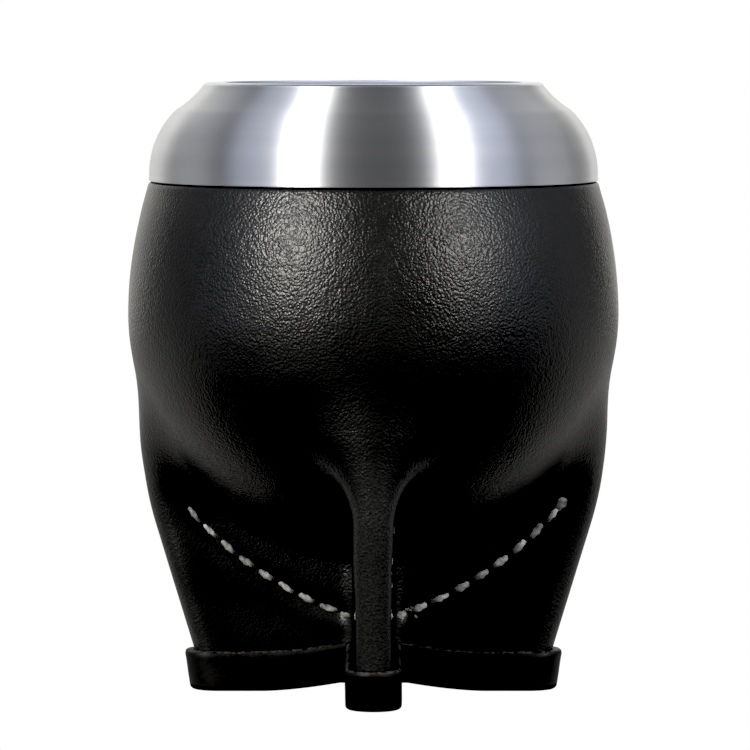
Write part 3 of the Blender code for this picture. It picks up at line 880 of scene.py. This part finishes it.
bpy.ops.mesh.select_all(action="SELECT")
bpy.ops.mesh.normals_make_consistent(inside=False)
finish_piece(
    rim,
    ("SOLIDIFY", {"thickness": RIM_SHEET * MM, "offset": -1, "use_even_offset": True}),
)

# Spun and polished aluminium: bright, slightly blue metal with faint turning lines 0.25 mm
# apart round the axis, which stretch every reflection up and down. The flat of the lip is
# polished plain and the throat is left matt. Both are also given a darker, bluer metal
# colour, which is a painted cool reflection.
aluminium, shader = new_material(
    "spun_aluminium", {"Metallic": 1.0, "Anisotropic": 1.0, "Anisotropic Rotation": 0.25}
)
place = add_node(aluminium, "TexCoord")
parts = add_node(aluminium, "SeparateXYZ", links={0: place.outputs["Object"]})
flat_place = add_node(
    aluminium, "CombineXYZ", links={"X": parts.outputs["X"], "Y": parts.outputs["Y"]}
)
reach = add_node(aluminium, "VectorMath", {"operation": "LENGTH"}, {0: flat_place.outputs[0]})
profile_place = add_node(
    aluminium, "CombineXYZ", links={"X": reach.outputs["Value"], "Y": parts.outputs["Z"]}
)
lines = add_node(
    aluminium, "TexNoise", {"Scale": 4200, "Detail": 3, "Roughness": 0.6},
    {"Vector": profile_place.outputs[0]},
)
broad = add_node(
    aluminium, "TexNoise", {"Scale": 420, "Detail": 2}, {"Vector": profile_place.outputs[0]}
)
smears = add_node(
    aluminium, "TexNoise", {"Scale": 60, "Detail": 3}, {"Vector": place.outputs["Object"]}
)
tone = add_node(
    aluminium, "ValToRGB", {"stops": ((0.35, "#e8eaee"), (0.65, "#edeef2"))},
    {"Fac": broad.outputs["Fac"]},
)
dull = add_node(
    aluminium, "MapRange", {"From Min": 0.3, "From Max": 0.7, "To Min": 0.47, "To Max": 0.51},
    {"Value": smears.outputs["Fac"]},
)
plain = add_node(
    aluminium, "MapRange", {"From Min": PLAIN_ABOVE * MM, "From Max": RIM_TOP * MM},
    {"Value": parts.outputs["Z"]},
)
throat = add_node(
    aluminium, "MapRange", {"From Min": MATT_FROM * MM, "From Max": MATT_TO * MM},
    {"Value": reach.outputs["Value"]},
)
polished = add_node(
    aluminium, "Math", {"operation": "MULTIPLY_ADD", 1: -0.3},
    {0: plain.outputs[0], 2: dull.outputs[0]},
)
finish = add_node(
    aluminium, "Math", {"operation": "MULTIPLY_ADD", 1: 0.45},
    {0: throat.outputs[0], 2: polished.outputs[0]},
)
# This mask marks the plain lip flat and the matt throat. It sets their finish and also where the
# painted cool reflection goes.
unturned_with_painted_tint = add_node(
    aluminium, "Math", {"operation": "MAXIMUM"}, {0: plain.outputs[0], 1: throat.outputs[0]}
)
stretch = add_node(
    aluminium, "MapRange", {"To Min": 1.0, "To Max": 0.1}, {"Value": unturned_with_painted_tint.outputs[0]}
)
turned = add_node(
    aluminium, "Bump", {"Strength": 0.1, "Distance": 0.008 * MM}, {"Height": lines.outputs["Fac"]}
)
around = add_node(aluminium, "Tangent", {"direction_type": "RADIAL", "axis": "Z"})
# The lip flat and throat are mixed to a darker, bluer metal colour: a painted cool reflection.
painted_cool_tint = add_node(
    aluminium, "MixRGB", {2: linear("#adb3c0")},
    {"Fac": unturned_with_painted_tint.outputs[0], 1: tone.outputs["Color"]},
)
aluminium.node_tree.links.new(painted_cool_tint.outputs[0], shader.inputs["Base Color"])
aluminium.node_tree.links.new(finish.outputs[0], shader.inputs["Roughness"])
aluminium.node_tree.links.new(stretch.outputs[0], shader.inputs["Anisotropic"])
aluminium.node_tree.links.new(turned.outputs["Normal"], shader.inputs["Normal"])
aluminium.node_tree.links.new(around.outputs[0], shader.inputs["Tangent"])
rim.data.materials.append(aluminium)
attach(rim, "root")
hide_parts("metal_rim")


# The studio: a plain pale floor and surround that look evenly white, yet throw little light
# back up; a broad bright backdrop, a small strong soft box on either side of the camera, tall
# weaker panels at the sides, cool and grey, and a lit table top behind the cup.

STUDIO_MIDDLE = (0, 0, 0.07)
SURROUND_LIGHT = 0.15
FOCAL_LENGTH = 244.7
CAMERA_PLACE = (0, -0.988, 0.131)
CAMERA_AIM = (0.0003, 0, 0.0612)
BLACK_LEVEL = 0.0135

bpy.ops.mesh.primitive_plane_add(size=12, location=(0, 0, 0))
floor = bpy.context.active_object
floor.name = "floor"
bpy.ops.object.select_all(action="DESELECT")
pale, shader = new_material(
    "pale_floor", {"Base Color": linear("#505050"), "Roughness": 1.0, "Specular IOR Level": 0.0}
)
seen = add_node(pale, "LightPath")
white = add_node(pale, "Emission", {"Color": linear("#ffffff"), "Strength": 1.0})
shown = add_node(
    pale, "MixShader",
    links={0: seen.outputs["Is Camera Ray"], 1: shader.outputs[0], 2: white.outputs[0]},
)
pale.node_tree.links.new(
    shown.outputs[0], pale.node_tree.nodes["Material Output"].inputs["Surface"]
)
floor.data.materials.append(pale)

scene.world = bpy.data.worlds.new("studio")
scene.world.use_nodes = True
background = scene.world.node_tree.nodes["Background"]
background.inputs["Color"].default_value = linear("#ffffff")
seen = add_node(scene.world, "LightPath")
level = add_node(
    scene.world, "MapRange", {"To Min": SURROUND_LIGHT, "To Max": 1.0},
    {"Value": seen.outputs["Is Camera Ray"]},
)
scene.world.node_tree.links.new(level.outputs[0], background.inputs["Strength"])


def add_panel(name, azimuth, elevation, distance, width, height, radiance, hex_colour):
    """A soft light aimed at the cup. Azimuth 0 is in front, and radiance is its brightness."""
    light = bpy.data.lights.new(name, "AREA")
    light.shape = "RECTANGLE"
    light.size = width
    light.size_y = height
    light.color = linear(hex_colour)[:3]
    light.energy = radiance * math.pi * width * height
    lamp = bpy.data.objects.new(name, light)
    scene.collection.objects.link(lamp)
    turn, tilt = math.radians(azimuth), math.radians(elevation)
    away = Vector(
        (math.sin(turn) * math.cos(tilt), -math.cos(turn) * math.cos(tilt), math.sin(tilt))
    )
    lamp.location = Vector(STUDIO_MIDDLE) + away * distance
    lamp.rotation_euler = away.to_track_quat("Z", "Y").to_euler()
    lamp.visible_camera = False


add_panel("backdrop", 185, 12, 1.1, 1.85, 1.3, 1.0, "#fffdf8")
add_panel("soft_box_left", -38.5, 21.5, 1.0, 0.18, 0.3, 62.0, "#fffdf8")
add_panel("soft_box_right", 42.5, 21.5, 1.0, 0.23, 0.3, 27.0, "#fffdf8")
add_panel("side_left", -66, 33, 1.0, 0.48, 1.5, 0.95, "#e2e9ff")
add_panel("side_right", 66, 33, 1.0, 0.48, 1.5, 1.25, "#e2e9ff")
add_panel("grey_left", -106, 24, 1.0, 0.4, 1.2, 0.34, "#f4f6ff")
add_panel("grey_right", 102, 24, 1.0, 0.7, 1.2, 0.42, "#f4f6ff")
add_panel("lit_table", 180, 0, 0.7, 2.2, 1.45, 0.42, "#fffdf8")

# The lit table top is laid flat on the floor behind the cup, and shines up.
table = bpy.data.objects["lit_table"]
table.location = (0.3, 0.72, 0.001)
table.rotation_euler = (math.pi, 0, 0)

lens = bpy.data.cameras.new("camera")
lens.lens = FOCAL_LENGTH
lens.sensor_width = 36
lens.clip_start = 0.01
camera = bpy.data.objects.new("camera", lens)
scene.collection.objects.link(camera)
camera.location = CAMERA_PLACE
aim = Vector(CAMERA_AIM) - camera.location
camera.rotation_euler = aim.to_track_quat("-Z", "Y").to_euler()
scene.camera = camera
scene.view_settings.view_transform = "Standard"
scene.view_settings.use_curve_mapping = True
scene.view_settings.curve_mapping.black_level = (BLACK_LEVEL, BLACK_LEVEL, BLACK_LEVEL)
scene.view_settings.curve_mapping.update()
